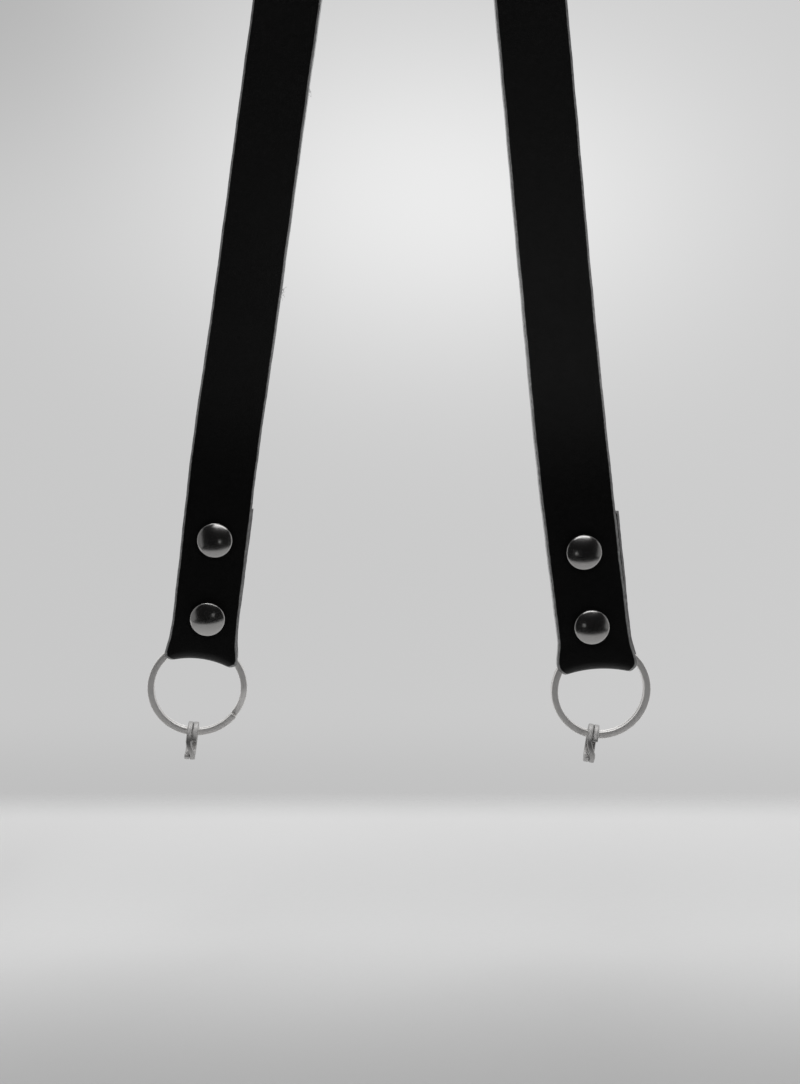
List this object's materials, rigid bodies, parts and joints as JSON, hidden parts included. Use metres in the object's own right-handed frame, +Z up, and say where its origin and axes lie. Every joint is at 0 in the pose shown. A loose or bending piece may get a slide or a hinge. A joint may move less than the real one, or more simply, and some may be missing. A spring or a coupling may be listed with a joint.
{
  "type": "camera neck strap",
  "caption": "Flat black leather neck strap for a camera, each end folded back round a big split ring, riveted, and linked to a small split ring; shown hanging by its middle.",
  "frame": {"origin": "where the flesh side of the band rests on its support, at the middle of the strap", "axes": "+Z up, the support runs along Y, -Y is the side that is looked at, +X to the viewer's right"},
  "size_m": [0.1332, 0.0268, 0.4907],
  "materials": {
    "black_leather": "smooth grain side, matt flesh side, burnished edges",
    "nickel": "polished nickel plate on domed rivet caps",
    "ring_steel": "satin plated spring steel"
  },
  "bodies": {
    "root": {"strap_band": "black_leather", "big_ring_left": "ring_steel", "big_ring_right": "ring_steel", "small_ring_left": "ring_steel", "small_ring_right": "ring_steel", "rivet_cap_left_lower": "nickel", "rivet_cap_left_upper": "nickel", "rivet_cap_right_lower": "nickel", "rivet_cap_right_upper": "nickel", "rivet_back_left_lower": "nickel", "rivet_back_left_upper": "nickel", "rivet_back_right_lower": "nickel", "rivet_back_right_upper": "nickel"}
  },
  "joints": []
}
